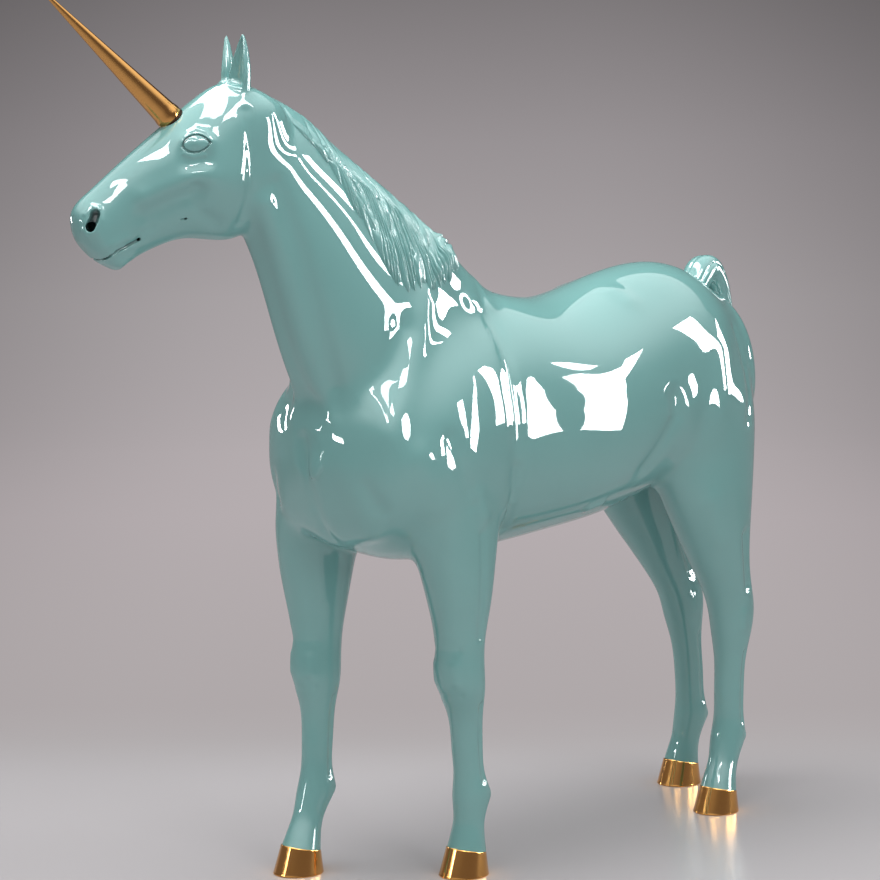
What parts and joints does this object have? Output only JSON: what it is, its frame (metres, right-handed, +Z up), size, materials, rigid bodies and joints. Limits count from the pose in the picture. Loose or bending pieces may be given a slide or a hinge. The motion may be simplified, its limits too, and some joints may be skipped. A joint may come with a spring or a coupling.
{
  "type": "unicorn figurine",
  "caption": "Standing unicorn in glossy teal lacquer with gold hooves, a swept mane and a straight gold horn that lifts out of the brow",
  "frame": {"origin": "on the floor, at the centre of the figure's bounding box seen from above", "axes": "the trunk points along +X toward the chest, +Y is the figure's left, +Z is up"},
  "size_m": [2.3328, 0.562, 2.235],
  "materials": {
    "lacquer": "high-gloss teal lacquer over glass fibre",
    "gold": "polished gold metal finish",
    "steel": "welded mild steel, inside the figure"
  },
  "bodies": {
    "figure": {"head_shell": "lacquer", "neck_shell": "lacquer", "torso_left_shell": "lacquer", "torso_right_shell": "lacquer", "foreleg_left_shell": "lacquer", "foreleg_right_shell": "lacquer", "hindleg_left_shell": "lacquer", "hindleg_right_shell": "lacquer", "ear_left": "lacquer", "ear_right": "lacquer", "mane": "lacquer", "tail": "lacquer", "hoof_fore_left": "gold", "hoof_fore_right": "gold", "hoof_hind_left": "gold", "hoof_hind_right": "gold", "horn_sleeve": "steel", "foot_plate_fore_left": "steel", "foot_plate_fore_right": "steel", "foot_plate_hind_left": "steel", "foot_plate_hind_right": "steel", "foreleg_left_tube": "steel", "foreleg_right_tube": "steel", "hindleg_left_tube": "steel", "hindleg_right_tube": "steel", "shoulder_tube": "steel", "hip_tube": "steel", "spine_tube": "steel", "neck_post": "steel"},
    "horn": {"horn": "gold", "horn_spigot": "steel"}
  },
  "joints": [
    {"name": "horn_lift", "type": "slide", "parent": "figure", "child": "horn", "axis": [0.6956, -0.226, 0.682], "range_m": [0, 0.08]}
  ]
}
